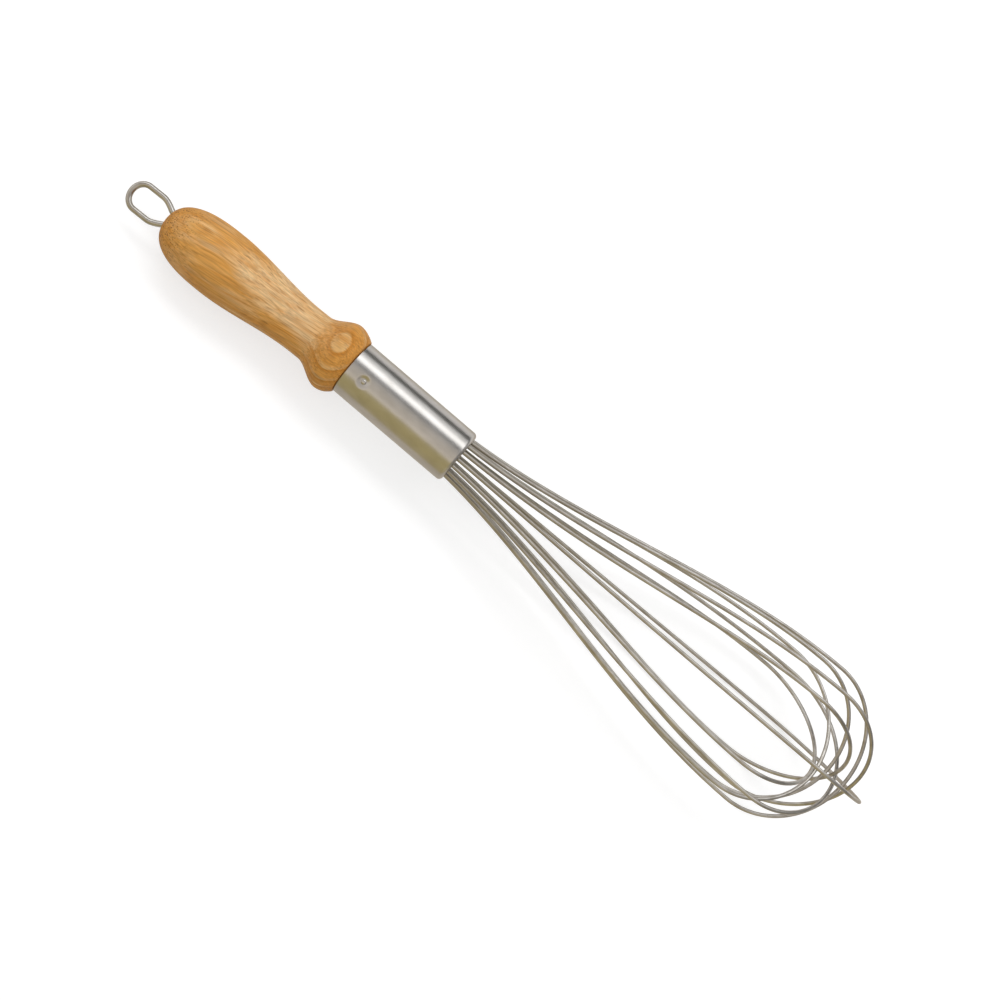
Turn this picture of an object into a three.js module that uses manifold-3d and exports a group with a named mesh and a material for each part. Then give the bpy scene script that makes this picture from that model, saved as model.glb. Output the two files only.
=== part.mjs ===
// A balloon whisk: turned wooden handle, steel tube ferrule, nested wire loops and a hanging loop.
// Millimetres, +Z up. The whisk lies on a level surface, its length along X and its tip towards +X.
// It is modelled along its own axis first: x = 0 is the handle's shoulder, where the ferrule starts.
// An azimuth is an angle round that axis, from +Z towards +Y.

import * as THREE from 'three';
import { mergeVertices } from 'three/addons/utils/BufferGeometryUtils.js';
import Module from 'manifold-3d';

// Clearance between a piece and the piece that it fits in, on or round
const CLEARANCE = 0.3;

// Handle, turned from one piece of wood
const HANDLE_LENGTH = 74;
const BULGE_DIAMETER = 22.8;
const BULGE_FROM_BUTT = 21.8;
const BUTT_FULLNESS = 2.65;
const WAIST_DIAMETER = 16.6;
const WAIST_FROM_SHOULDER = 18.5;
const COVE_FROM_SHOULDER = 15.2;
const COLLAR_FROM_SHOULDER = 5.5;
const COLLAR_STAND = 2.8;
const SHOULDER_STEP = 0.5;
const SHOULDER_STOCK = 1;
const TENON_LENGTH = 15;
const TENON_CHAMFER = 0.8;

// Degrees that the grip leans off the ferrule's axis, about the middle of its tenon. The tenon itself is
// true to the ferrule, and the stock left on at the shoulder is faced off square to it.
const HANDLE_CANT = 1.8;

// Ferrule, a steel tube whose front edge is rolled in
const FERRULE_DIAMETER = 19;
const FERRULE_LENGTH = 44.5;
const FERRULE_WALL = 0.6;
const LIP_RADIUS = 1.5;

// Brad that holds the ferrule on the tenon
const PIN_FROM_SHOULDER = 6.8;
const PIN_AZIMUTH = -8;
const PIN_DIAMETER = 1.8;
const PIN_LENGTH = 5;
const PIN_HEAD_DIAMETER = 3.4;
const PIN_HEAD_HEIGHT = 0.5;

// Hanging loop, bent from thicker wire, with two straight legs in the butt
const HANGER_WIRE = 2;
const HANGER_WIDTH = 9;
const HANGER_REACH = 14.5;
const HANGER_CROWN = 4;
const HANGER_OFFSET = 0.5;
const HANGER_LEG_SPACING = 5;
const HANGER_LEG_DEPTH = 12;
const HANGER_LEG_BARE = 0.3;
const HANGER_BEND = 5.2;
const HANGER_AZIMUTH = 90;

// Wire loops, nested one inside the next, from a ring in the ferrule to the tip
const WIRE_DIAMETER = 1.3;
const WIRE_DEPTH = 24;
const BELLY_RADIUS = 27.7;
const OUTER_REACH = 169.5;
const TIP_DEPTH = 25.6;
const MOUTH_SLOPE = 0.07;
const RING_START = 19;
const PLUG_SETBACK = 1.5;

// Each loop from the innermost out. slot is its place in the ring of wires, and gap (mm) the space between
// its crown and the next loop outwards; swing (degrees), swell and lean (mm, in its plane and across it)
// are how far its hand-bent belly departs from an even balloon.
const LOOPS = [
  { slot: 6, gap: 0.5, swing: -6.5, swell: 0, lean: [1.2, 0.6] },
  { slot: 4, gap: 1.9, swing: 7, swell: 0, lean: [0.5, 2.4] },
  { slot: 2, gap: 0.7, swing: 17, swell: -1, lean: [0.5, 0] },
  { slot: 0, gap: 0.5, swing: 16, swell: -0.4, lean: [0, 0.3] },
  { slot: 5, gap: 2.1, swing: 6.5, swell: 2, lean: [-0.8, 1] },
  { slot: 3, gap: 0.7, swing: -0.5, swell: 0.6, lean: [0.5, 0] },
  { slot: 1, gap: 2, swing: 15, swell: 0, lean: [-1.3, 1] },
  { slot: 7, swing: 0.5, swell: 0.4, lean: [0, -0.5] },
];

// Loops whose bellies the whisk lies on, counted from the innermost
const RESTING_LOOPS = [4, 8];

// Facets
const HANDLE_SIDES = 32;
const FERRULE_SIDES = 36;
const PIN_SIDES = 12;
const WIRE_SIDES = 8;
const WIRE_STEPS = 60;
const HANGER_SIDES = 10;
const HANGER_STEPS = 40;
const CURVE_STEPS = 10;
const LIP_STEPS = 5;

// Corners closer than this are one corner
const WELD_DISTANCE = 1e-4;

// Sizes that follow from the ones above
const butt = -HANDLE_LENGTH;
const ferruleRadius = FERRULE_DIAMETER / 2;
const boreRadius = ferruleRadius - FERRULE_WALL;
const lipRadius = ferruleRadius - LIP_RADIUS;
const mouth = CLEARANCE + FERRULE_LENGTH;
const tenonRadius = boreRadius - CLEARANCE;
const wireRadius = WIRE_DIAMETER / 2;
const ringRadius = lipRadius - CLEARANCE - wireRadius;
const ringStep = 180 / LOOPS.length;
const pinHoleRadius = PIN_DIAMETER / 2 + CLEARANCE;
const pinPointRadius = ferruleRadius + CLEARANCE - PIN_LENGTH;

const wasm = await Module();
wasm.setup();

const radians = THREE.MathUtils.degToRad;
const smoothstep = (share) => share * share * (3 - 2 * share);
const steel = { color: 0xaaa69f, metalness: 1, roughness: 0.35 };

// Drop the triangles that a revolve closes up on its axis, and share the corners of the rest.
function weld(geometry) {
  const bare = geometry.clone();
  bare.deleteAttribute('normal');
  bare.deleteAttribute('uv');
  const shared = mergeVertices(bare, WELD_DISTANCE);
  const corners = Array.from(shared.index.array);
  const kept = [];
  for (let i = 0; i < corners.length; i += 3) {
    const [a, b, c] = corners.slice(i, i + 3);
    if (a !== b && b !== c && c !== a) kept.push(a, b, c);
  }
  shared.setIndex(kept);
  return shared;
}

function solid(geometry) {
  const welded = weld(geometry);
  const vertProperties = new Float32Array(welded.attributes.position.array);
  const triVerts = new Uint32Array(welded.index.array);
  return new wasm.Manifold(new wasm.Mesh({ numProp: 3, vertProperties, triVerts }));
}

function cut(body, tools) {
  return tools.reduce((left, tool) => left.subtract(solid(tool)), body);
}

function surface(body) {
  const { vertProperties, triVerts } = body.getMesh();
  const result = new THREE.BufferGeometry();
  result.setAttribute('position', new THREE.BufferAttribute(new Float32Array(vertProperties), 3));
  result.setIndex(Array.from(triVerts));
  return result;
}

function mesh(name, geometry, finish) {
  const piece = new THREE.Mesh(weld(geometry), new THREE.MeshStandardMaterial(finish));
  piece.name = name;
  return piece;
}

// Revolve a profile of [x, radius] points round the whisk's axis.
function turned(profile, sides) {
  const points = profile.map(([x, radius]) => new THREE.Vector2(radius, x));
  return new THREE.LatheGeometry(points, sides).rotateZ(-Math.PI / 2);
}

// Stand a geometry that was made along +Y out from the axis, at a place along it and an azimuth.
function standOut(geometry, x, azimuth) {
  return geometry.rotateX(Math.PI / 2 - radians(azimuth)).translate(x, 0, 0);
}

// Lean a geometry with the grip.
function canted(geometry) {
  const pivot = TENON_LENGTH / 2;
  return geometry.translate(-pivot, 0, 0).rotateZ(radians(HANDLE_CANT)).translate(pivot, 0, 0);
}

// Points of a curve from one place to another: blend gives each point's share of x and of radius.
function run(from, to, blend) {
  const shares = Array.from({ length: CURVE_STEPS }, (_, i) => blend((i + 1) / CURVE_STEPS));
  return shares.map(([along, out]) => [
    THREE.MathUtils.lerp(from[0], to[0], along),
    THREE.MathUtils.lerp(from[1], to[1], out),
  ]);
}

function pinHole() {
  const length = 2 * PIN_LENGTH;
  const hole = new THREE.CylinderGeometry(pinHoleRadius, pinHoleRadius, length, PIN_SIDES);
  hole.translate(0, pinPointRadius - CLEARANCE + length / 2, 0);
  return standOut(hole, PIN_FROM_SHOULDER, PIN_AZIMUTH);
}

function handleGeometry() {
  const bulge = [butt + BULGE_FROM_BUTT, BULGE_DIAMETER / 2];
  const waist = [-WAIST_FROM_SHOULDER, WAIST_DIAMETER / 2];
  const cove = [-COVE_FROM_SHOULDER, WAIST_DIAMETER / 2];
  const collar = [-COLLAR_FROM_SHOULDER, ferruleRadius + COLLAR_STAND];
  const shoulder = [0, ferruleRadius + SHOULDER_STEP];
  const power = 2 / BUTT_FULLNESS;
  const dome = (share) => {
    const turn = (share * Math.PI) / 2;
    return [1 - Math.cos(turn) ** power, Math.sin(turn) ** power];
  };
  const sweep = (share) => [share, smoothstep(share)];
  const fall = (share) => [share, share * share];
  const profile = [
    [butt, 0],
    ...run([butt, 0], bulge, dome),
    ...run(bulge, waist, sweep),
    ...run(cove, collar, sweep),
    ...run(collar, shoulder, fall),
    [SHOULDER_STOCK, shoulder[1]],
    [SHOULDER_STOCK, 0],
  ];
  const facing = turned([
    [0, 0],
    [0, FERRULE_DIAMETER],
    [2 * SHOULDER_STOCK, FERRULE_DIAMETER],
    [2 * SHOULDER_STOCK, 0],
  ], HANDLE_SIDES);
  const tenon = turned([
    [collar[0], 0],
    [collar[0], tenonRadius],
    [TENON_LENGTH - TENON_CHAMFER, tenonRadius],
    [TENON_LENGTH, tenonRadius - TENON_CHAMFER],
    [TENON_LENGTH, 0],
  ], HANDLE_SIDES);
  const legHoleRadius = HANGER_WIRE / 2 + CLEARANCE;
  const legHoleDepth = HANGER_LEG_DEPTH + CLEARANCE;
  const legHoles = [1, -1].map((side) => {
    const hole = new THREE.CylinderGeometry(legHoleRadius, legHoleRadius, 2 * legHoleDepth, HANGER_SIDES);
    hole.rotateZ(-Math.PI / 2);
    hole.translate(butt, 0, HANGER_OFFSET + (side * HANGER_LEG_SPACING) / 2);
    return canted(hole.rotateX(-radians(HANGER_AZIMUTH)));
  });
  const grip = cut(solid(canted(turned(profile, HANDLE_SIDES))), [facing]);
  return surface(cut(grip.add(solid(tenon)), [...legHoles, pinHole()]));
}

// The tube's wall, out along the outside, round the rolled lip and back along the bore
function ferruleGeometry() {
  const lipStart = mouth - LIP_RADIUS;
  const turns = Array.from({ length: LIP_STEPS + 1 }, (_, i) => (i / LIP_STEPS) * (Math.PI / 2));
  const lip = (radius) => turns.map((turn) => [
    lipStart + radius * Math.sin(turn),
    lipRadius + radius * Math.cos(turn),
  ]);
  const profile = [
    [CLEARANCE, ferruleRadius],
    ...lip(LIP_RADIUS),
    ...lip(LIP_RADIUS - FERRULE_WALL).reverse(),
    [CLEARANCE, boreRadius],
    [CLEARANCE, ferruleRadius],
  ];
  return surface(cut(solid(turned(profile, FERRULE_SIDES)), [pinHole()]));
}

function pinGeometry() {
  const seat = ferruleRadius + CLEARANCE;
  const headRadius = PIN_HEAD_DIAMETER / 2;
  const dome = [0, 0.25, 0.5, 0.75, 1].map((share) => {
    const turn = (share * Math.PI) / 2;
    return new THREE.Vector2(headRadius * Math.cos(turn), seat + PIN_HEAD_HEIGHT * Math.sin(turn));
  });
  dome[dome.length - 1].x = 0;
  const points = [
    new THREE.Vector2(0, pinPointRadius),
    new THREE.Vector2(PIN_DIAMETER / 2, pinPointRadius + PIN_DIAMETER / 2),
    new THREE.Vector2(PIN_DIAMETER / 2, seat),
    ...dome,
  ];
  return standOut(new THREE.LatheGeometry(points, PIN_SIDES), PIN_FROM_SHOULDER, PIN_AZIMUTH);
}

// A bent wire that is made of two halves: place(progress, side) gives the point of one half, from its
// end at 0 to the crown where the halves join at 1. Its steps are even in progress, not in length.
class BentWire extends THREE.Curve {
  constructor(place) {
    super();
    this.place = place;
  }

  getPoint(t) {
    return this.place(1 - Math.abs(2 * t - 1), t < 0.5 ? 1 : -1);
  }

  getUtoTmapping(share) {
    return share;
  }
}

function drawnWire(diameter, sides, curve, steps) {
  const corners = Array.from({ length: sides }, (_, i) => {
    const turn = (i / sides) * 2 * Math.PI;
    return new THREE.Vector2(Math.cos(turn), Math.sin(turn)).multiplyScalar(diameter / 2);
  });
  const section = new THREE.Shape(corners);
  return new THREE.ExtrudeGeometry(section, { extrudePath: curve, steps });
}

function hangerGeometry() {
  const legEnd = 0.1;
  const bendEnd = 0.4;
  const sideEnd = 0.5;
  const half = HANGER_WIDTH / 2;
  const bendStart = butt - HANGER_LEG_BARE;
  const arcCentre = butt - HANGER_REACH + HANGER_CROWN;
  const place = (progress, side) => {
    let x = arcCentre;
    let out = half;
    if (progress < legEnd) {
      x = THREE.MathUtils.mapLinear(progress, 0, legEnd, butt + HANGER_LEG_DEPTH, bendStart);
      out = HANGER_LEG_SPACING / 2;
    } else if (progress < bendEnd) {
      const share = THREE.MathUtils.mapLinear(progress, legEnd, bendEnd, 0, 1);
      x = bendStart - HANGER_BEND * share;
      out = THREE.MathUtils.lerp(HANGER_LEG_SPACING / 2, half, (share * (3 - share * share)) / 2);
    } else if (progress < sideEnd) {
      x = THREE.MathUtils.mapLinear(progress, bendEnd, sideEnd, bendStart - HANGER_BEND, arcCentre);
    } else {
      const turn = THREE.MathUtils.mapLinear(progress, sideEnd, 1, 0, Math.PI / 2);
      x = arcCentre - HANGER_CROWN * Math.sin(turn);
      out = half * Math.cos(turn);
    }
    return new THREE.Vector3(x, 0, HANGER_OFFSET + side * out);
  };
  const wire = drawnWire(HANGER_WIRE, HANGER_SIDES, new BentWire(place), HANGER_STEPS);
  return canted(wire.rotateX(-radians(HANGER_AZIMUTH)));
}

// Resin that the wire ends are set in, between the tenon and the rolled lip
function plugGeometry() {
  const back = TENON_LENGTH + CLEARANCE;
  const depth = mouth - LIP_RADIUS - PLUG_SETBACK - back;
  const round = (radius, azimuth, sides, shift) => Array.from({ length: sides }, (_, i) => {
    const turn = (i / sides) * 2 * Math.PI;
    return new THREE.Vector2(
      -shift * Math.cos(radians(azimuth)) + radius * Math.cos(turn),
      shift * Math.sin(radians(azimuth)) + radius * Math.sin(turn),
    );
  });
  const section = new THREE.Shape(round(tenonRadius, 0, FERRULE_SIDES, 0));
  for (let i = 0; i < 2 * LOOPS.length; i += 1) {
    const azimuth = RING_START + i * ringStep;
    section.holes.push(new THREE.Path(round(wireRadius + CLEARANCE, azimuth, WIRE_SIDES, ringRadius)));
  }
  const plug = new THREE.ExtrudeGeometry(section, { depth, bevelEnabled: false });
  return plug.rotateY(Math.PI / 2).translate(back, 0, 0);
}

// Where a loop's crown lies: each loop is a wire and a gap behind the next one outwards
function crownPlace(index) {
  const inset = LOOPS.slice(index, -1).reduce((sum, { gap }) => sum + gap + WIRE_DIAMETER, 0);
  return mouth + OUTER_REACH - inset;
}

// One loop: straight in the ferrule, flaring to its belly, then half an ellipse across the tip
function wireLoopGeometry({ slot, swing, swell, lean }, crown) {
  const straightEnd = 0.08;
  const flareEnd = 0.46;
  const belly = BELLY_RADIUS + swell;
  const bellyPlace = crown - TIP_DEPTH;
  const flareLength = bellyPlace - mouth;
  const ringAzimuth = RING_START + slot * ringStep;
  const place = (progress, side) => {
    let x = mouth;
    let out = ringRadius;
    let flared = 0;
    if (progress < straightEnd) {
      x = THREE.MathUtils.mapLinear(progress, 0, straightEnd, mouth - WIRE_DEPTH, mouth);
    } else if (progress < flareEnd) {
      const share = THREE.MathUtils.mapLinear(progress, straightEnd, flareEnd, 0, 1);
      flared = smoothstep(share);
      x = mouth + flareLength * share;
      out = THREE.MathUtils.lerp(ringRadius, belly, flared);
      out += MOUTH_SLOPE * flareLength * share * (1 - share) ** 2;
    } else {
      const turn = THREE.MathUtils.mapLinear(progress, flareEnd, 1, 0, Math.PI / 2);
      flared = 1;
      x = bellyPlace + TIP_DEPTH * Math.sin(turn);
      out = belly * Math.cos(turn);
    }
    const azimuth = radians(ringAzimuth + swing * flared);
    const leaning = flared * (out / belly) ** 2;
    const along = side * out + leaning * lean[0];
    const across = leaning * lean[1];
    return new THREE.Vector3(
      x,
      along * Math.sin(azimuth) + across * Math.cos(azimuth),
      along * Math.cos(azimuth) - across * Math.sin(azimuth),
    );
  };
  return drawnWire(WIRE_DIAMETER, WIRE_SIDES, new BentWire(place), WIRE_STEPS);
}

// The corner of a mesh that lies furthest along a direction
function furthest(piece, direction) {
  const corner = new THREE.Vector3();
  const best = new THREE.Vector3();
  let reach = -Infinity;
  for (let i = 0; i < piece.geometry.attributes.position.count; i += 1) {
    corner.fromBufferAttribute(piece.geometry.attributes.position, i);
    if (corner.dot(direction) > reach) {
      reach = corner.dot(direction);
      best.copy(corner);
    }
  }
  return best;
}

// The upward direction, in the whisk's own frame, when it lies on the undersides of three pieces
function upwards(pieces) {
  const rounds = 12;
  const up = new THREE.Vector3(0, 0, 1);
  for (let i = 0; i < rounds; i += 1) {
    const down = up.clone().negate();
    const plane = new THREE.Plane().setFromCoplanarPoints(...pieces.map((piece) => furthest(piece, down)));
    up.copy(plane.normal.dot(up) < 0 ? plane.normal.negate() : plane.normal);
  }
  return up;
}

const handle = mesh('handle', handleGeometry(), { color: 0xc8924e, metalness: 0, roughness: 0.5 });
const loops = LOOPS.map((loop, i) => mesh(
  `wire_loop_${i + 1}`,
  wireLoopGeometry(loop, crownPlace(i)),
  steel,
));

const whisk = new THREE.Group();
whisk.add(
  handle,
  mesh('ferrule', ferruleGeometry(), steel),
  mesh('ferrule_pin', pinGeometry(), steel),
  mesh('hanging_loop', hangerGeometry(), steel),
  mesh('wire_plug', plugGeometry(), { color: 0x8c8474, metalness: 0, roughness: 0.8 }),
  ...loops,
);

// Lay it down: level on the handle's bulge and the two loops, with its axis over the X axis
const up = upwards([handle, ...RESTING_LOOPS.map((count) => loops[count - 1])]);
const sideways = up.clone().cross(new THREE.Vector3(1, 0, 0)).normalize();
const forwards = sideways.clone().cross(up);
whisk.quaternion.setFromRotationMatrix(new THREE.Matrix4().makeBasis(forwards, sideways, up).transpose());

// The origin is under the middle of its box
const part = new THREE.Group();
part.add(whisk);
const box = new THREE.Box3().setFromObject(part, true);
const middle = box.getCenter(new THREE.Vector3());
whisk.position.set(-middle.x, -middle.y, -box.min.z);

export default part;
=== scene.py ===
"""Looks of the balloon whisk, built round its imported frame.

Every piece is made in millimetres in the whisk's own axes, as the solids are: x = 0 is the handle's
shoulder, +x runs to the tip, and an azimuth is an angle round that axis, from +z towards +y.
"""

import math

import bmesh
import bpy
import numpy as np
from mathutils import Matrix, Vector


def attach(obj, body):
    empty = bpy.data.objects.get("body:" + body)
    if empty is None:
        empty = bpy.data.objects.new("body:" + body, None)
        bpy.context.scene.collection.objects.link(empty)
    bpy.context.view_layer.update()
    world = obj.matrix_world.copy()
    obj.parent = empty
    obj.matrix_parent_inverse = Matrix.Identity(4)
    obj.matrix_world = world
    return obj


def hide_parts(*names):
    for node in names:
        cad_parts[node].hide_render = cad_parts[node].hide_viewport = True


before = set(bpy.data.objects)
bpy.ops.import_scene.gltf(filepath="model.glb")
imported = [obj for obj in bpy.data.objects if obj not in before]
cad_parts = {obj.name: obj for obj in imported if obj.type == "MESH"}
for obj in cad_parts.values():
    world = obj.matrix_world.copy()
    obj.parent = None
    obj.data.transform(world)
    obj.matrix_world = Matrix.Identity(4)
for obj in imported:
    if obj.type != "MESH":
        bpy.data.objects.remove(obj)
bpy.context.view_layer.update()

MM = 0.001
CLEARANCE = 0.3

# Handle
HANDLE_LENGTH = 74
BULGE_DIAMETER = 22.8
BULGE_FROM_BUTT = 21.8
BUTT_FULLNESS = 2.65
WAIST_DIAMETER = 16.6
WAIST_FROM_SHOULDER = 18.5
COVE_FROM_SHOULDER = 15.2
COLLAR_FROM_SHOULDER = 5.5
COLLAR_STAND = 2.8
SHOULDER_STEP = 0.5
SHOULDER_ROUNDING = 0.25
TENON_LENGTH = 15
TENON_CHAMFER = 0.8

# Degrees that the grip leans off the ferrule's axis, about the middle of its tenon, and the length over
# which that eases off, so that the shoulder is square to the ferrule
HANDLE_CANT = 1.8
SHOULDER_EASE = 3

# Ferrule
FERRULE_DIAMETER = 19
FERRULE_LENGTH = 44.5
FERRULE_WALL = 0.6
LIP_RADIUS = 1.5
EDGE_BEVEL = 0.12

# Brad, whose domed head is as wide as its shank, and the dimple that it is punched into
PIN_FROM_SHOULDER = 6.8
PIN_AZIMUTH = -8
PIN_DIAMETER = 1.8
PIN_LENGTH = 5
PIN_HEAD_HEIGHT = 0.55
DIMPLE_DIAMETER = 4.9
DIMPLE_DEPTH = 0.75
DIMPLE_SKEW = 0.5
DIMPLE_RIM = 1.4

# Hanging loop
HANGER_WIRE = 2
HANGER_WIDTH = 9
HANGER_REACH = 14.5
HANGER_CROWN = 4
HANGER_OFFSET = 0.5
HANGER_LEG_SPACING = 5
HANGER_LEG_DEPTH = 12
HANGER_LEG_BARE = 0.3
HANGER_BEND = 5.2
LEG_HOLE_GAP = 0.06
# Corners nearer than this after a cut are one corner
MERGE_DISTANCE = 0.001

# Wire loops
WIRE_DIAMETER = 1.3
WIRE_DEPTH = 24
BELLY_RADIUS = 27.7
OUTER_REACH = 169.5
TIP_DEPTH = 25.6
MOUTH_SLOPE = 0.07
RING_START = 19

# Each loop from the innermost out. slot is its place in the ring of wires, and gap (mm) the space between
# its crown and the next loop outwards; swing (degrees), swell and lean (mm, in its plane and across it)
# are how far its hand-bent belly departs from an even balloon.
LOOPS = [
    {"slot": 6, "gap": 0.5, "swing": -6.5, "swell": 0, "lean": (1.2, 0.6)},
    {"slot": 4, "gap": 1.9, "swing": 7, "swell": 0, "lean": (0.5, 2.4)},
    {"slot": 2, "gap": 0.7, "swing": 17, "swell": -1, "lean": (0.5, 0)},
    {"slot": 0, "gap": 0.5, "swing": 16, "swell": -0.4, "lean": (0, 0.3)},
    {"slot": 5, "gap": 2.1, "swing": 6.5, "swell": 2, "lean": (-0.8, 1)},
    {"slot": 3, "gap": 0.7, "swing": -0.5, "swell": 0.6, "lean": (0.5, 0)},
    {"slot": 1, "gap": 2, "swing": 15, "swell": 0, "lean": (-1.3, 1)},
    {"slot": 7, "swing": 0.5, "swell": 0.4, "lean": (0, -0.5)},
]

# Camera: the whisk's axis runs down to the right in the picture, its tip turned a little away
CAMERA_DISTANCE = 409.6
CAMERA_LENS = 45.94
CAMERA_SENSOR = 36
PICTURE_TURN = 40.47
TIP_AWAY = 2.63
AIM_FROM_SHOULDER = 63.5
AIM_ASIDE = -1.6

# Studio: angles are round the whisk's axis, from the camera's side towards +y
KEY_ANGLE = 46
KEY_SPREAD = 18
KEY_DISTANCE = 900
KEY_LENGTH = 1400
KEY_POWER = 3.9
SKY_LIGHT = 0.67
FLOOR_SIZE = 4000
FLOOR_COLOUR = (0.5, 0.5, 0.5, 1)
FLOOR_LIFT = 0.62
# Distances (mm) from the whisk's middle between which the floor whitens, so that its end doesn't show
FLOOR_FADE = (300, 1000)

# Cards that only reflections show, in three sets, each with its name, where it starts and ends, and its
# colour: curved ones round the whisk (degrees), ones on the floor (mm from the whisk, towards +y), and
# one that stands beyond the tip (mm above the whisk's axis)
CARD_DISTANCE = 700
CARD_LENGTH = 1600
FLOOR_CARD_LIFT = 0.3
ROUND_CARDS = [
    ("far_edge_card", 79, 102, (0, 0, 0, 1)),
    ("softbox_card", 38, 59, (2.3, 2.3, 2.3, 1)),
    ("softbox_frame", 22, 37, (0.14, 0.145, 0.16, 1)),
    ("overhead_card", 8, 22, (0.6, 0.57, 0.54, 1)),
    ("camera_card", -19, 8, (0.71, 0.65, 0.58, 1)),
    ("near_card", -33, -19, (0.92, 0.84, 0.75, 1)),
    ("near_side_card", -76, -33, (0.52, 0.435, 0.21, 1)),
]
FLOOR_CARDS = [
    ("near_floor_card", -700, -48, (0.5, 0.42, 0.22, 1)),
    ("under_card", -48, 48, (0.61, 0.55, 0.47, 1)),
    ("far_floor_card", 48, 700, (0.92, 0.89, 0.86, 1)),
]
TIP_CARD = ("tip_card", -100, 700, (0.3, 0.29, 0.28, 1))

# In the materials, a scale is how many blobs of a noise, or cells, fit in a millimetre along x, y and z.

# Steel: two colours that mix in cloudy marks, the range of its roughness over fine scratches, the scale of
# these, and how far it turns to the dark colour at the ferrule's mouth, as painted shade where the wires
# crowd
TUBE_FINISH = {
    "light": (0.57, 0.555, 0.535, 1),
    "dark": (0.5, 0.485, 0.46, 1),
    "roughness": (0.28, 0.295),
    "scratches": (2.5, 0.12, 0.12),
    "painted_shade_at_mouth": 0,
}
WIRE_FINISH = {
    "light": (0.57, 0.55, 0.52, 1),
    "dark": (0.4, 0.375, 0.335, 1),
    "roughness": (0.28, 0.3),
    "scratches": (0.3, 1.5, 1.5),
    "painted_shade_at_mouth": 0.9,
}
MARK_SCALE = (0.16, 0.3, 0.3)
MARK_RANGE = (0.35, 0.68)
SCRATCH_RANGE = (0.2, 0.8)
# The run of wire beyond the mouth over which the painted shade fades
PAINTED_SHADE_LENGTH = 70

# Wood's colours: the plain grip and its pale clouds; a growth layer's start, early wood, middle and late
# wood, which is also the colour of streaks and end grain; and the pores
WOOD_PLAIN = (0.645, 0.31, 0.065, 1)
# WOOD_PALE is also the colour of the painted light on the handle's side towards the key light
WOOD_PALE = (0.74, 0.505, 0.26, 1)
WOOD_RING = (0.55, 0.235, 0.032, 1)
WOOD_EARLY = (0.67, 0.4, 0.15, 1)
WOOD_LAYER = (0.615, 0.282, 0.05, 1)
WOOD_LATE = (0.5, 0.195, 0.02, 1)
WOOD_PORE = (0.16, 0.052, 0.008, 1)

# Wood's growth layers, round a pith far behind the handle, so that its swells show them as ovals. They are
# tilted (degrees about x, y and z) and stretched along the handle, and a stop is a share of a layer.
PITH_AZIMUTH = 23
PITH_DISTANCE = 120
LAYER_TILT = (0, 7, -5)
LAYER_SPACING = 3.6
LAYER_STRETCH = (0.05, 1, 1)
LAYER_STOPS = [
    (0, WOOD_RING), (0.07, WOOD_EARLY), (0.4, WOOD_LAYER), (0.78, WOOD_LAYER), (0.94, WOOD_LATE),
]
LAYERS_AT_WAIST = 0.2
OVAL_DEPTH = 0.6
# Space between the wave texture's rings at a scale of 1
RING_PERIOD = math.pi / 10

# Wood's fibres, with slow waves (mm) across them, and the range of their noise that is shown
FIBRE_TILT = (0, 1, -5)
FIBRE_SCALE = (0.06, 2.2, 2.2)
FIBRE_RANGE = (0.3, 0.7)
FIBRE_TONES = (0.76, 1.22)
FIBRE_ROUGHNESS = (0.46, 0.58)
WAVE_SCALE = (0.05, 0.12, 0.12)
WAVE_REACH = (0, 2, 2)

# Pale clouds in the wood, and painted light on the handle's side towards the key light, which comes in
# along the handle and across it (mm)
PALE_SCALE = (0.05, 0.22, 0.22)
PALE_RANGE = (0.48, 0.84)
PAINTED_LIGHT_ALONG = (-50, -30)
PAINTED_LIGHT_ACROSS = (-4, -1)
PAINTED_LIGHT_STRENGTH = 0.4

# Dark streaks: scale, the range of their noise over which they come in, and strength
STREAKS = [
    ((0.05, 0.5, 0.5), (0.51, 0.66), 0.48),
    ((0.06, 1.6, 1.6), (0.53, 0.63), 0.42),
]

# End grain: it darkens from the first share to the second of facing fully along the handle
END_GRAIN_RANGE = (0.25, 0.85)
END_GRAIN_STRENGTH = 0.6

# Open pores, and the dots that they make near the butt: scale, radius as a share of a cell, and how many of
# the cells have one. A pore is darkest inside PORE_EDGE of its radius, and some are fainter than others.
PORES = {"scale": (0.14, 1.5, 1.5), "radius": 0.38, "share": 0.5}
PORE_STRENGTH = 0.34
PORE_EDGE = 0.65
PORE_FADE = 0.3
BUTT_DOTS = {"scale": (1.25, 1.25, 1.25), "radius": 0.34, "share": 0.85}
DOT_STRENGTH = 0.85
# Distances (mm) from the butt between which the dots fade
DOT_FADE = (5, 15)

# Resin
RESIN_SCALE = (1.5, 1.5, 1.5)
RESIN_DARK = (0.2, 0.18, 0.15, 1)
RESIN_LIGHT = (0.34, 0.31, 0.26, 1)

# Facets
HANDLE_SIDES = 128
FERRULE_SIDES = 180
FERRULE_STEPS = 130
WIRE_SIDES = 16
HANGER_SIDES = 24
PIN_SIDES = 48
HEAD_STEPS = 12
CURVE_STEPS = 36
FLARE_STEPS = 72
TIP_STEPS = 52
CARD_STEPS = 8
# Edges that turn by more than this (degrees) are shaded sharp
SHARP_ANGLE = 38

# Sizes that follow from the ones above
butt = -HANDLE_LENGTH
ferrule_radius = FERRULE_DIAMETER / 2
bore_radius = ferrule_radius - FERRULE_WALL
mouth_radius = ferrule_radius - LIP_RADIUS
mouth = CLEARANCE + FERRULE_LENGTH
tenon_radius = bore_radius - CLEARANCE
wire_radius = WIRE_DIAMETER / 2
ring_radius = mouth_radius - CLEARANCE - wire_radius
ring_step = 180 / len(LOOPS)

scene = bpy.context.scene


def smoothstep(share):
    return share * share * (3 - 2 * share)


def lerp(start, end, share):
    return start + (end - start) * share


def shares(steps):
    """Even shares of a run, without its start and with its end."""
    return [(i + 1) / steps for i in range(steps)]


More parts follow.
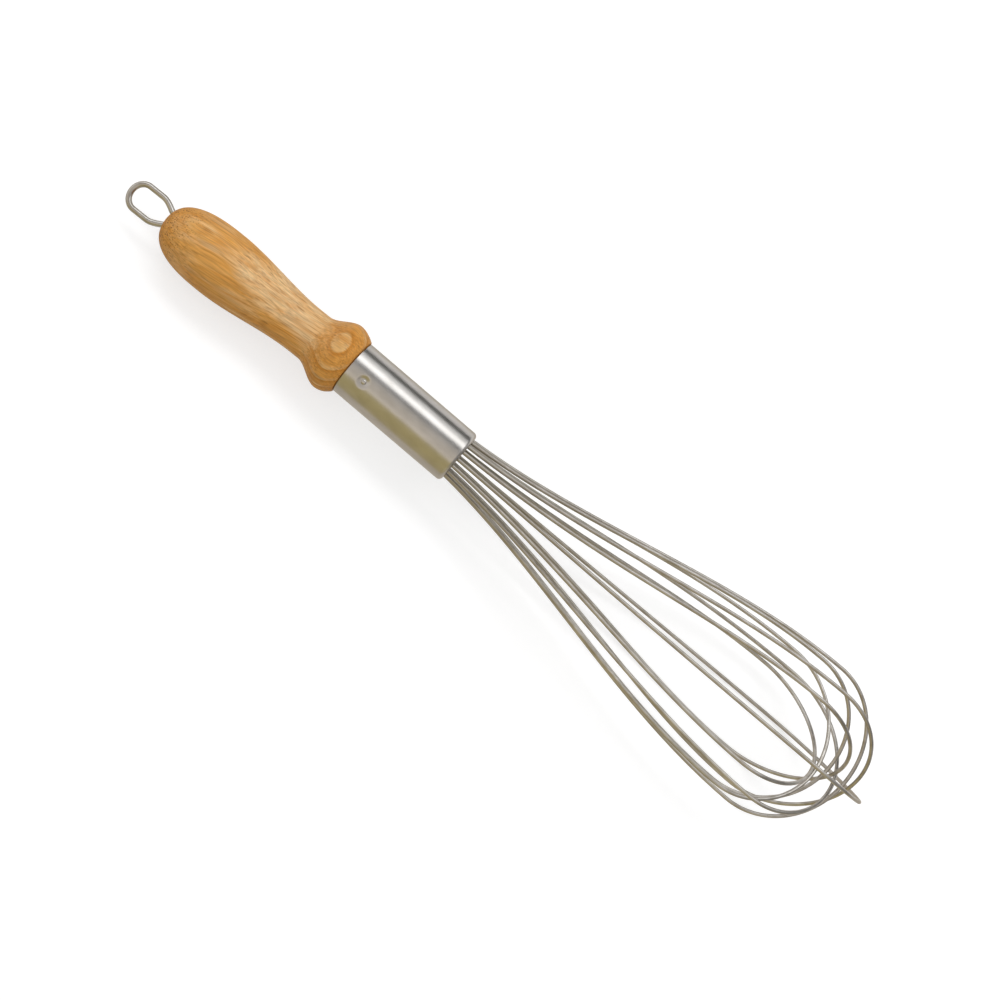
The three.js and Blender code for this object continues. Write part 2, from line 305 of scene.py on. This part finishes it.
def round_axis(azimuth, distance, x):
    """A place at an azimuth and a distance from the whisk's axis, in the whisk's own axes."""
    turn = math.radians(azimuth)
    return Vector((x, distance * math.sin(turn), distance * math.cos(turn)))


def node_corners(name):
    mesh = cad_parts[name].data
    corners = np.empty(3 * len(mesh.vertices))
    mesh.vertices.foreach_get("co", corners)
    return corners.reshape(-1, 3)


def spread_axes(name):
    """The directions in which a node's corners spread, from the widest to the least."""
    corners = node_corners(name)
    return np.linalg.svd(corners - corners.mean(axis=0), full_matrices=False)[2]


def whisk_matrix():
    """The whisk's axes in the frame: x along the round plug, z square to the flat hanging loop."""
    along = Vector(spread_axes("wire_plug")[0])
    towards_tip = node_corners("wire_plug").mean(axis=0) - node_corners("handle").mean(axis=0)
    if along.dot(Vector(towards_tip)) < 0:
        along.negate()
    up = Vector(spread_axes("hanging_loop")[2])
    if up.z < 0:
        up.negate()
    across = up.cross(along).normalized()
    up = along.cross(across)
    turn = Matrix((along, across, up))
    ferrule = node_corners("ferrule") @ np.array(turn).T
    low = ferrule.min(axis=0)
    high = ferrule.max(axis=0)
    shoulder = Vector((low[0] - CLEARANCE * MM, (low[1] + high[1]) / 2, (low[2] + high[2]) / 2))
    return Matrix.Translation(turn.transposed() @ shoulder) @ turn.transposed().to_4x4()


WHISK = whisk_matrix()


def canted_matrix():
    """The handle's axes: it leans off the ferrule's axis, about the middle of its tenon."""
    pivot = Matrix.Translation((TENON_LENGTH / 2 * MM, 0, 0))
    lean = Matrix.Rotation(math.radians(HANDLE_CANT), 4, "Z")
    return WHISK @ pivot @ lean @ pivot.inverted()


HANDLE = canted_matrix()


# Mesh forms, as lists of corners (mm) and faces


def revolve(profile, sides):
    """A closed form turned round the axis from (x, radius) points; a radius of 0 is a pole.

    Its faces look outwards where the points of its outside run towards +x.
    """
    corners = []
    rings = []
    for x, radius in profile:
        first = len(corners)
        if radius == 0:
            corners.append((x, 0, 0))
            rings.append([first] * sides)
            continue
        for i in range(sides):
            turn = 2 * math.pi * i / sides
            corners.append((x, radius * math.sin(turn), radius * math.cos(turn)))
        rings.append(list(range(first, first + sides)))
    if profile[0][1] > 0:
        rings.append(rings[0])
    faces = []
    for back, front in zip(rings, rings[1:]):
        for i in range(sides):
            j = (i + 1) % sides
            corner_loop = [back[i], front[i], front[j], back[j]]
            faces.append([c for k, c in enumerate(corner_loop) if c != corner_loop[k - 1]])
    return corners, faces


def sweep(path, radius, sides):
    """A round wire along a path, with flat ends. Its rings turn with the path and don't twist."""
    points = [Vector(p) for p in path]
    corners = []
    side = None
    for i, point in enumerate(points):
        ahead = (points[min(i + 1, len(points) - 1)] - points[max(i - 1, 0)]).normalized()
        if side is None:
            side = ahead.orthogonal()
        side = (side - ahead * side.dot(ahead)).normalized()
        lift = ahead.cross(side)
        for k in range(sides):
            turn = 2 * math.pi * k / sides
            corners.append(point + radius * (side * math.cos(turn) + lift * math.sin(turn)))
    faces = []
    for i in range(len(points) - 1):
        for k in range(sides):
            after = (k + 1) % sides
            faces.append([i * sides + k, i * sides + after, (i + 1) * sides + after, (i + 1) * sides + k])
    last = (len(points) - 1) * sides
    faces.append(list(reversed(range(sides))))
    faces.append(list(range(last, last + sides)))
    return corners, faces


def add_mesh(name, form, place):
    """A mesh from a form in millimetres, whose axes are at a place in the frame."""
    corners, faces = form
    mesh = bpy.data.meshes.new(name)
    mesh.from_pydata([place @ (Vector(corner) * MM) for corner in corners], [], faces)
    mesh.shade_smooth()
    mesh.set_sharp_from_angle(angle=math.radians(SHARP_ANGLE))
    added = bpy.data.objects.new(name, mesh)
    scene.collection.objects.link(added)
    return added


def give_finish(piece, material):
    """Make a material the only one of a piece."""
    piece.data.materials.clear()
    piece.data.materials.append(material)


def dress(piece, node, material):
    """Let a piece stand for a CAD node, with its finish."""
    give_finish(piece, material)
    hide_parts(node)
    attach(piece, "root")


def bore(piece, tools):
    """Cut the tools out of a piece, and delete them."""
    for tool in tools:
        cut = piece.modifiers.new(tool.name, "BOOLEAN")
        cut.operation = "DIFFERENCE"
        cut.solver = "EXACT"
        cut.object = tool
    bpy.context.view_layer.update()
    result = bpy.data.meshes.new_from_object(piece.evaluated_get(bpy.context.evaluated_depsgraph_get()))
    cleaned = bmesh.new()
    cleaned.from_mesh(result)
    bmesh.ops.remove_doubles(cleaned, verts=cleaned.verts, dist=MERGE_DISTANCE * MM)
    cleaned.to_mesh(result)
    cleaned.free()
    piece.modifiers.clear()
    piece.data = result
    result.set_sharp_from_angle(angle=math.radians(SHARP_ANGLE))
    for tool in tools:
        bpy.data.objects.remove(tool)


# Materials


def add_node(tree, kind, inputs=None, **settings):
    """Add a shader node; an input is either a number or colour, or another node's output to link."""
    added = tree.nodes.new(kind)
    for key, value in settings.items():
        setattr(added, key, value)
    for socket, value in (inputs or {}).items():
        if isinstance(value, bpy.types.NodeSocket):
            tree.links.new(value, added.inputs[socket])
        else:
            added.inputs[socket].default_value = value
    return added


def new_material(name):
    material = bpy.data.materials.new(name)
    material.use_nodes = True
    material.node_tree.nodes.clear()
    return material, material.node_tree


def finish_material(tree, inputs):
    shader = add_node(tree, "ShaderNodeBsdfPrincipled", inputs)
    add_node(tree, "ShaderNodeOutputMaterial", {"Surface": shader.outputs["BSDF"]})


def millimetres(tree, axes):
    """Places on a piece in the whisk's or the handle's axes, in millimetres."""
    return add_node(tree, "ShaderNodeMapping", {
        "Vector": add_node(tree, "ShaderNodeTexCoord").outputs["Object"],
        "Location": axes.translation,
        "Rotation": axes.to_euler(),
        "Scale": (MM, MM, MM),
    }, vector_type="TEXTURE").outputs[0]


def stretched(tree, place, scale):
    return add_node(tree, "ShaderNodeMapping", {"Vector": place, "Scale": scale}).outputs[0]


def noise(tree, place, scale, detail):
    """Cloudy noise; its Fac is one number, and its Color three."""
    inputs = {"Vector": stretched(tree, place, scale), "Scale": 1, "Detail": detail}
    return add_node(tree, "ShaderNodeTexNoise", inputs).outputs


def remap(tree, value, from_range, to_range):
    inputs = {"Value": value, 1: from_range[0], 2: from_range[1], 3: to_range[0], 4: to_range[1]}
    return add_node(tree, "ShaderNodeMapRange", inputs).outputs[0]


def mix_colour(tree, factor, first, second, blend="MIX"):
    inputs = {0: factor, 6: first, 7: second}
    return add_node(tree, "ShaderNodeMix", inputs, data_type="RGBA", blend_type=blend).outputs[2]


def arithmetic(tree, operation, first, second=0):
    return add_node(tree, "ShaderNodeMath", {0: first, 1: second}, operation=operation).outputs[0]


def bump(tree, height, strength, depth):
    """The normal of a surface with small heights on it, up to a depth in millimetres."""
    inputs = {"Height": height, "Strength": strength, "Distance": depth * MM}
    return add_node(tree, "ShaderNodeBump", inputs).outputs[0]


def wood_layers(tree, grain):
    """Growth layers as a saw that rises from pale early wood to dark late wood."""
    towards = math.radians(PITH_AZIMUTH)
    pith = (0, PITH_DISTANCE * math.sin(towards), PITH_DISTANCE * math.cos(towards))
    tilt = math.radians(LAYER_TILT[1])
    collar = (ferrule_radius + COLLAR_STAND) * math.cos(tilt) + COLLAR_FROM_SHOULDER * math.sin(tilt)
    late = (PITH_DISTANCE + collar - OVAL_DEPTH) / LAYER_SPACING
    moved = add_node(tree, "ShaderNodeVectorMath", {0: grain, 1: pith}, operation="ADD").outputs[0]
    inputs = {
        "Vector": stretched(tree, moved, LAYER_STRETCH),
        "Scale": RING_PERIOD / LAYER_SPACING,
        "Distortion": 0.9,
        "Detail": 3,
        "Detail Scale": 1.5,
        "Phase Offset": 2 * math.pi * (math.ceil(late) - late),
    }
    return add_node(tree, "ShaderNodeTexWave", inputs, wave_type="RINGS", rings_direction="X",
                    wave_profile="SAW").outputs["Fac"]


def wood_pores(tree, place, scale, radius, share):
    """Open pores, in a share of the cells that fill the wood."""
    cells = add_node(tree, "ShaderNodeTexVoronoi", {"Vector": stretched(tree, place, scale), "Scale": 1})
    near = remap(tree, cells.outputs["Distance"], (PORE_EDGE * radius, radius), (1, 0))
    pick = add_node(tree, "ShaderNodeSeparateColor", {0: cells.outputs["Color"]}).outputs[0]
    return arithmetic(tree, "MULTIPLY", near, remap(tree, pick, (1 - share, 1 - share + PORE_FADE), (0, 1)))


def tilted(tree, place, angles):
    turn = [math.radians(angle) for angle in angles]
    return add_node(tree, "ShaderNodeMapping", {"Vector": place, "Rotation": turn}).outputs[0]


def wavy_fibres(tree, place):
    """Places along the fibres, which run straight but for slow waves."""
    fibres = tilted(tree, place, FIBRE_TILT)
    inputs = {0: noise(tree, fibres, WAVE_SCALE, detail=1)["Color"], 1: WAVE_REACH, 2: fibres}
    return add_node(tree, "ShaderNodeVectorMath", inputs, operation="MULTIPLY_ADD").outputs[0]


def paleness(tree, grain, along, across):
    """How pale the wood is, in its clouds and in the painted light on its side towards the key light."""
    # Painted light: paler on the side towards the key light, from the middle of the handle on to the
    # shoulder
    painted_light_along = remap(tree, along, PAINTED_LIGHT_ALONG, (0, PAINTED_LIGHT_STRENGTH))
    painted_light_across = remap(tree, across, PAINTED_LIGHT_ACROSS, (0, 1))
    painted_light = arithmetic(tree, "MULTIPLY", painted_light_along, painted_light_across)
    pale = arithmetic(tree, "ADD", noise(tree, grain, PALE_SCALE, detail=2)["Fac"], painted_light)
    return remap(tree, pale, PALE_RANGE, (0, 1))


def end_grain(tree):
    """How dark the oil makes a place that faces along the handle, where the wood is cut across."""
    normal = add_node(tree, "ShaderNodeNewGeometry").outputs["Normal"]
    inputs = {0: normal, 1: HANDLE.col[0].xyz}
    facing = add_node(tree, "ShaderNodeVectorMath", inputs, operation="DOT_PRODUCT").outputs["Value"]
    return remap(tree, arithmetic(tree, "ABSOLUTE", facing), END_GRAIN_RANGE, (0, END_GRAIN_STRENGTH))


def colour_ramp(tree, value, stops):
    ramp = add_node(tree, "ShaderNodeValToRGB", {"Fac": value})
    elements = ramp.color_ramp.elements
    while len(elements) < len(stops):
        elements.new(0.5)
    for element, (position, colour) in zip(elements, stops):
        element.position = position
        element.color = colour
    return ramp.outputs["Color"]


def wood():
    material, tree = new_material("turned_wood")
    place = millimetres(tree, HANDLE)
    straight = tilted(tree, place, LAYER_TILT)
    grain = wavy_fibres(tree, place)
    along, across, _ = add_node(tree, "ShaderNodeSeparateXYZ", {0: place}).outputs

    tone = mix_colour(tree, paleness(tree, grain, along, across), WOOD_PLAIN, WOOD_PALE)
    layers = colour_ramp(tree, wood_layers(tree, straight), LAYER_STOPS)
    on_collar = remap(tree, along, (-WAIST_FROM_SHOULDER, -COLLAR_FROM_SHOULDER), (LAYERS_AT_WAIST, 1))
    tone = mix_colour(tree, on_collar, tone, layers)
    tone = mix_colour(tree, end_grain(tree), tone, WOOD_LATE)
    for scale, edges, strength in STREAKS:
        streak = remap(tree, noise(tree, grain, scale, detail=5)["Fac"], edges, (0, strength))
        tone = mix_colour(tree, streak, tone, WOOD_LATE)
    fibre = noise(tree, grain, FIBRE_SCALE, detail=4)["Fac"]
    tone = mix_colour(tree, 1, tone, remap(tree, fibre, FIBRE_RANGE, FIBRE_TONES), "MULTIPLY")
    pore = wood_pores(tree, grain, **PORES)
    tone = mix_colour(tree, arithmetic(tree, "MULTIPLY", pore, PORE_STRENGTH), tone, WOOD_PORE)
    dot = wood_pores(tree, straight, **BUTT_DOTS)
    on_butt = remap(tree, along, [butt + distance for distance in DOT_FADE], (DOT_STRENGTH, 0))
    tone = mix_colour(tree, arithmetic(tree, "MULTIPLY", dot, on_butt), tone, WOOD_PORE)
    finish_material(tree, {
        "Base Color": tone,
        "Roughness": remap(tree, fibre, FIBRE_RANGE, FIBRE_ROUGHNESS),
        "Specular IOR Level": 0.25,
        "Normal": bump(tree, arithmetic(tree, "SUBTRACT", fibre, pore), strength=0.3, depth=0.05),
    })
    return material


def steel(name, light, dark, roughness, scratches, painted_shade_at_mouth):
    """Steel with cloudy marks and fine scratches, and painted shade at the ferrule's mouth and just beyond
    it.
    """
    material, tree = new_material(name)
    place = millimetres(tree, WHISK)
    marks = remap(tree, noise(tree, place, MARK_SCALE, detail=3)["Fac"], MARK_RANGE, (0, 1))
    lines = noise(tree, place, scratches, detail=2)["Fac"]
    along = add_node(tree, "ShaderNodeSeparateXYZ", {0: place}).outputs[0]
    # Painted shade: the steel turns darker up to the ferrule's mouth, then fades out beyond it, where the
    # wires crowd
    up_to_mouth = remap(tree, along, (0, mouth), (0, painted_shade_at_mouth))
    beyond_mouth = remap(tree, along, (mouth, mouth + PAINTED_SHADE_LENGTH), (1, 0))
    painted_shade = arithmetic(tree, "MULTIPLY", up_to_mouth, beyond_mouth)
    finish_material(tree, {
        "Base Color": mix_colour(tree, arithmetic(tree, "ADD", marks, painted_shade), light, dark),
        "Metallic": 1,
        "Roughness": remap(tree, lines, SCRATCH_RANGE, roughness),
        "Normal": bump(tree, lines, strength=0.012, depth=0.01),
    })
    return material


def resin():
    material, tree = new_material("cast_resin")
    grain = noise(tree, millimetres(tree, WHISK), RESIN_SCALE, detail=4)["Fac"]
    finish_material(tree, {
        "Base Color": mix_colour(tree, grain, RESIN_DARK, RESIN_LIGHT),
        "Roughness": 0.75,
        "Normal": bump(tree, grain, strength=0.4, depth=0.1),
    })
    return material


# Pieces


def curve_run(start, end, blend):
    """Points of a curve between two places; blend gives each point's share of x and of radius."""
    blended = [blend(share) for share in shares(CURVE_STEPS)]
    return [(lerp(start[0], end[0], along), lerp(start[1], end[1], out)) for along, out in blended]


def grip_profile():
    bulge = (butt + BULGE_FROM_BUTT, BULGE_DIAMETER / 2)
    waist = (-WAIST_FROM_SHOULDER, WAIST_DIAMETER / 2)
    cove = (-COVE_FROM_SHOULDER, WAIST_DIAMETER / 2)
    collar = (-COLLAR_FROM_SHOULDER, ferrule_radius + COLLAR_STAND)
    shoulder = (0, ferrule_radius + SHOULDER_STEP)
    power = 2 / BUTT_FULLNESS

    def dome(share):
        turn = share * math.pi / 2
        return 1 - max(math.cos(turn), 0) ** power, math.sin(turn) ** power

    def swell(share):
        return share, smoothstep(share)

    def fall(share):
        return share, share * share

    return [
        (butt, 0),
        *curve_run((butt, 0), bulge, dome),
        *curve_run(bulge, waist, swell),
        *curve_run(cove, collar, swell),
        *curve_run(collar, shoulder, fall)[:-1],
        (shoulder[0] - SHOULDER_ROUNDING / 3, shoulder[1] - SHOULDER_ROUNDING / 3),
        (shoulder[0], shoulder[1] - SHOULDER_ROUNDING),
    ]


def leaned(corner):
    """Lean a corner of the grip off the ferrule's axis, less and less towards its square shoulder."""
    x, y, z = corner
    cant = math.radians(HANDLE_CANT)
    from_pivot = x - TENON_LENGTH / 2
    tilt = smoothstep(min(-x / SHOULDER_EASE, 1)) * math.sin(cant)
    return (x - y * tilt, y + from_pivot * math.tan(cant), z)


def make_handle(material):
    grip = grip_profile()
    tenon = [
        (0, tenon_radius),
        (TENON_LENGTH - TENON_CHAMFER, tenon_radius),
        (TENON_LENGTH, tenon_radius - TENON_CHAMFER),
        (TENON_LENGTH, 0),
    ]
    corners, faces = revolve(grip + tenon, HANDLE_SIDES)
    of_grip = 1 + (len(grip) - 1) * HANDLE_SIDES
    corners = [leaned(corner) for corner in corners[:of_grip]] + corners[of_grip:]
    handle = add_mesh("handle_turned", (corners, faces), WHISK)
    holes = []
    for side in (1, -1):
        out = HANGER_OFFSET + side * HANGER_LEG_SPACING / 2
        ends = [(butt + HANGER_LEG_DEPTH, out, 0), (butt - HANGER_LEG_DEPTH, out, 0)]
        form = sweep(ends, HANGER_WIRE / 2 + LEG_HOLE_GAP, HANGER_SIDES)
        holes.append(add_mesh(f"leg_hole_{len(holes) + 1}", form, HANDLE))
    bore(handle, holes)
    dress(handle, "handle", material)


def dimpled(corners):
    """Push the corners round the brad in, in a soft dish that is steeper towards -x and +y."""
    centre = round_axis(PIN_AZIMUTH, ferrule_radius, PIN_FROM_SHOULDER)
    steeper = Vector((-1, 1, 0)).normalized()
    dished = []
    for corner in corners:
        point = Vector(corner)
        out = (point - centre) / (DIMPLE_DIAMETER / 2)
        share = min(out.length, 1)
        skew = 1 + DIMPLE_SKEW * out.dot(steeper)
        inwards = DIMPLE_DEPTH * (1 - share * share) ** DIMPLE_RIM * skew
        radius = math.hypot(point.y, point.z)
        shrink = (radius - inwards) / radius
        dished.append((point.x, point.y * shrink, point.z * shrink))
    return dished


def make_ferrule(material):
    lip_start = mouth - LIP_RADIUS

    def lip(radius):
        turns = [i / CURVE_STEPS * math.pi / 2 for i in range(CURVE_STEPS + 1)]
        return [
            (lip_start + radius * math.sin(turn), mouth_radius + radius * math.cos(turn)) for turn in turns
        ]

    wall = [(lerp(CLEARANCE + EDGE_BEVEL, lip_start, i / FERRULE_STEPS), ferrule_radius)
            for i in range(FERRULE_STEPS)]
    profile = [
        (CLEARANCE, ferrule_radius - EDGE_BEVEL),
        *wall,
        *lip(LIP_RADIUS),
        *reversed(lip(LIP_RADIUS - FERRULE_WALL)),
        (CLEARANCE, bore_radius),
    ]
    corners, faces = revolve(profile, FERRULE_SIDES)
    ferrule = add_mesh("ferrule_tube", (dimpled(corners), faces), WHISK)
    dress(ferrule, "ferrule", material)


def make_pin(material):
    seat = ferrule_radius - DIMPLE_DEPTH
    radius = PIN_DIAMETER / 2
    point = ferrule_radius + CLEARANCE - PIN_LENGTH
    turns = [share * math.pi / 2 for share in shares(HEAD_STEPS)[:-1]]
    profile = [
        (point, 0),
        (point + radius, radius),
        (seat, radius),
        *[(seat + PIN_HEAD_HEIGHT * math.sin(turn), radius * math.cos(turn)) for turn in turns],
        (seat + PIN_HEAD_HEIGHT, 0),
    ]
    stand = Matrix.Translation((PIN_FROM_SHOULDER * MM, 0, 0))
    turn = Matrix.Rotation(-math.radians(PIN_AZIMUTH), 4, "X") @ Matrix.Rotation(-math.pi / 2, 4, "Y")
    pin = add_mesh("ferrule_brad", revolve(profile, PIN_SIDES), WHISK @ stand @ turn)
    dress(pin, "ferrule_pin", material)


def both_halves(half):
    """A whole bent wire from the path of one half, whose points take a side, +1 or -1."""
    return half(1) + list(reversed(half(-1)))[1:]


def hanger_half(side):
    half = HANGER_WIDTH / 2
    bend_start = butt - HANGER_LEG_BARE
    arc_centre = butt - HANGER_REACH + HANGER_CROWN
    path = [(butt + HANGER_LEG_DEPTH, HANGER_LEG_SPACING / 2), (bend_start, HANGER_LEG_SPACING / 2)]
    # The wire leaves its leg at an angle and comes in line with the straight side
    for share in shares(CURVE_STEPS):
        bent = share * (3 - share * share) / 2
        path.append((bend_start - HANGER_BEND * share, lerp(HANGER_LEG_SPACING / 2, half, bent)))
    for share in [0, *shares(CURVE_STEPS)]:
        turn = share * math.pi / 2
        path.append((arc_centre - HANGER_CROWN * math.sin(turn), half * math.cos(turn)))
    return [(x, HANGER_OFFSET + side * out, 0) for x, out in path]


def make_hanger(material):
    form = sweep(both_halves(hanger_half), HANGER_WIRE / 2, HANGER_SIDES)
    dress(add_mesh("hanging_loop_wire", form, HANDLE), "hanging_loop", material)


def loop_half(loop, crown, side):
    belly = BELLY_RADIUS + loop["swell"]
    belly_place = crown - TIP_DEPTH
    flare_length = belly_place - mouth
    stations = [(mouth - WIRE_DEPTH, ring_radius, 0), (mouth, ring_radius, 0)]
    for share in shares(FLARE_STEPS):
        flared = smoothstep(share)
        out = lerp(ring_radius, belly, flared) + MOUTH_SLOPE * flare_length * share * (1 - share) ** 2
        stations.append((mouth + flare_length * share, out, flared))
    for share in shares(TIP_STEPS):
        turn = share * math.pi / 2
        stations.append((belly_place + TIP_DEPTH * math.sin(turn), belly * math.cos(turn), 1))
    path = []
    for x, out, flared in stations:
        azimuth = math.radians(RING_START + loop["slot"] * ring_step + loop["swing"] * flared)
        leaning = flared * (out / belly) ** 2
        along = side * out + leaning * loop["lean"][0]
        across = leaning * loop["lean"][1]
        path.append((
            x,
            along * math.sin(azimuth) + across * math.cos(azimuth),
            along * math.cos(azimuth) - across * math.sin(azimuth),
        ))
    return path


def make_loops(material):
    for i, loop in enumerate(LOOPS):
        inset = sum(WIRE_DIAMETER + outer["gap"] for outer in LOOPS[i:-1])
        path = both_halves(lambda side: loop_half(loop, mouth + OUTER_REACH - inset, side))
        piece = add_mesh(f"wire_loop_{i + 1}_drawn", sweep(path, wire_radius, WIRE_SIDES), WHISK)
        dress(piece, f"wire_loop_{i + 1}", material)


# Studio


def camera_axes():
    """The camera's right, up and backward directions, in the whisk's axes."""
    away = math.radians(TIP_AWAY)
    turn = math.radians(PICTURE_TURN)
    back = Vector((-math.sin(away), 0, math.cos(away)))
    down_axis = Vector((math.cos(away), 0, math.sin(away)))
    aside = Vector((0, -1, 0))
    right = down_axis * math.cos(turn) - aside * math.sin(turn)
    up = -(down_axis * math.sin(turn) + aside * math.cos(turn))
    return right, up, back


def make_camera():
    right, up, back = camera_axes()
    aim = Vector((AIM_FROM_SHOULDER, AIM_ASIDE, 0))
    place = Matrix((right, up, back)).transposed().to_4x4()
    place.translation = (aim + back * CAMERA_DISTANCE) * MM
    camera = bpy.data.objects.new("camera", bpy.data.cameras.new("camera"))
    camera.data.lens = CAMERA_LENS
    camera.data.sensor_width = CAMERA_SENSOR
    camera.matrix_world = WHISK @ place
    scene.collection.objects.link(camera)
    scene.camera = camera


def make_key():
    """A long soft box beside the whisk, square to it."""
    data = bpy.data.lights.new("key", "AREA")
    data.shape = "RECTANGLE"
    data.size = KEY_LENGTH * MM
    data.size_y = 2 * KEY_DISTANCE * math.tan(math.radians(KEY_SPREAD / 2)) * MM
    data.energy = KEY_POWER
    key = bpy.data.objects.new("key", data)
    towards = round_axis(KEY_ANGLE, 1, 0)
    along = Vector((1, 0, 0))
    place = Matrix((along, towards.cross(along), towards)).transposed().to_4x4()
    place.translation = round_axis(KEY_ANGLE, KEY_DISTANCE, AIM_FROM_SHOULDER) * MM
    key.matrix_world = WHISK @ place
    key.visible_glossy = False
    scene.collection.objects.link(key)


def glow(name, colour):
    material, tree = new_material(name)
    emission = add_node(tree, "ShaderNodeEmission", {"Color": colour, "Strength": 1})
    add_node(tree, "ShaderNodeOutputMaterial", {"Surface": emission.outputs[0]})
    return material


def add_card(name, form, place, colour):
    card = add_mesh(name, form, place)
    give_finish(card, glow(name, colour))
    card.visible_camera = False
    card.visible_diffuse = False
    card.visible_transmission = False
    card.visible_shadow = False


def make_cards():
    """Cards for the steel to reflect: along the whisk, round it and on the floor, and beyond its tip."""
    ends = (-CARD_LENGTH / 2, CARD_LENGTH / 2)
    for name, start, end, colour in ROUND_CARDS:
        angles = [lerp(start, end, i / CARD_STEPS) for i in range(CARD_STEPS + 1)]
        corners = [round_axis(angle, CARD_DISTANCE, x) for angle in angles for x in ends]
        faces = [[2 * i, 2 * i + 1, 2 * i + 3, 2 * i + 2] for i in range(CARD_STEPS)]
        add_card(name, (corners, faces), WHISK, colour)
    for name, start, end, colour in FLOOR_CARDS:
        corners = [(x, y, FLOOR_CARD_LIFT) for y in (start, end) for x in ends]
        add_card(name, (corners, [[0, 1, 3, 2]]), Matrix.Identity(4), colour)
    name, start, end, colour = TIP_CARD
    corners = [(CARD_DISTANCE, y, z) for z in (start, end) for y in ends]
    add_card(name, (corners, [[0, 1, 3, 2]]), WHISK, colour)


def seen_directly(tree):
    """1 for rays that show the background: straight from the camera, mirrored or through glass."""
    path = add_node(tree, "ShaderNodeLightPath")
    seen = arithmetic(tree, "MAXIMUM", path.outputs["Is Camera Ray"], path.outputs["Is Glossy Ray"])
    return arithmetic(tree, "MAXIMUM", seen, path.outputs["Is Transmission Ray"])


def make_floor():
    half = FLOOR_SIZE / 2
    corners = [(-half, -half, 0), (half, -half, 0), (half, half, 0), (-half, half, 0)]
    floor = add_mesh("floor", (corners, [[0, 1, 2, 3]]), Matrix.Identity(4))
    material, tree = new_material("floor")
    paper = add_node(tree, "ShaderNodeBsdfDiffuse", {"Color": FLOOR_COLOUR})
    place = add_node(tree, "ShaderNodeNewGeometry").outputs["Position"]
    away = add_node(tree, "ShaderNodeVectorMath", {0: place}, operation="LENGTH").outputs["Value"]
    whitened = remap(tree, away, [distance * MM for distance in FLOOR_FADE], (FLOOR_LIFT, 1))
    strength = arithmetic(tree, "MULTIPLY", seen_directly(tree), whitened)
    lift = add_node(tree, "ShaderNodeEmission", {"Strength": strength})
    both = add_node(tree, "ShaderNodeAddShader", {0: paper.outputs[0], 1: lift.outputs[0]})
    add_node(tree, "ShaderNodeOutputMaterial", {"Surface": both.outputs[0]})
    give_finish(floor, material)


def make_world():
    world = bpy.data.worlds.new("studio")
    world.use_nodes = True
    tree = world.node_tree
    tree.nodes.clear()
    strength = remap(tree, seen_directly(tree), (0, 1), (SKY_LIGHT, 1))
    sky = add_node(tree, "ShaderNodeBackground", {"Color": (1, 1, 1, 1), "Strength": strength})
    add_node(tree, "ShaderNodeOutputWorld", {"Surface": sky.outputs[0]})
    scene.world = world


ferrule_steel = steel("satin_tube_steel", **TUBE_FINISH)
wire_steel = steel("drawn_wire_steel", **WIRE_FINISH)

make_handle(wood())
make_ferrule(ferrule_steel)
make_pin(ferrule_steel)
make_hanger(wire_steel)
make_loops(wire_steel)
give_finish(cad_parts["wire_plug"], resin())
make_camera()
make_key()
make_cards()
make_floor()
make_world()
scene.view_settings.view_transform = "Standard"
